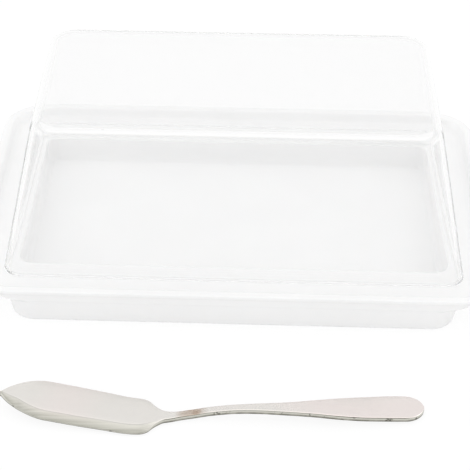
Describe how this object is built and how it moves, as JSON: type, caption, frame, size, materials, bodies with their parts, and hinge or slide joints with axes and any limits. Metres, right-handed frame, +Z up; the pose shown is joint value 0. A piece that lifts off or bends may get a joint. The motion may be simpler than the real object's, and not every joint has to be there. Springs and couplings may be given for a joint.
{
  "type": "butter dish",
  "caption": "Oblong butter dish: a flanged tray with a shallow well, a clear tapered lid that lifts off, and a flat butter knife lying beside it.",
  "frame": {"origin": "centre of the tray's flat underside, on the table", "axes": "+X along the tray's long side, towards the end of the knife's handle; +Y away from the knife; +Z up, out of the tray through the lid"},
  "size_m": [0.1908, 0.1869, 0.0642],
  "materials": {
    "tray_white_plastic": "glossy moulded white plastic",
    "lid_clear_plastic": "clear, polished",
    "knife_polished_steel": "stamped and polished stainless steel"
  },
  "bodies": {
    "tray": {"tray": "tray_white_plastic"},
    "lid": {"lid": "lid_clear_plastic"},
    "knife": {"butter_knife": "knife_polished_steel"}
  },
  "joints": [
    {"name": "lid_lift", "type": "slide", "parent": "tray", "child": "lid", "axis": [0, 0, 1], "range_m": [0, 0.08]},
    {"name": "knife_lift", "type": "slide", "parent": "tray", "child": "knife", "axis": [0, 0, 1], "range_m": [0, 0.06]}
  ]
}
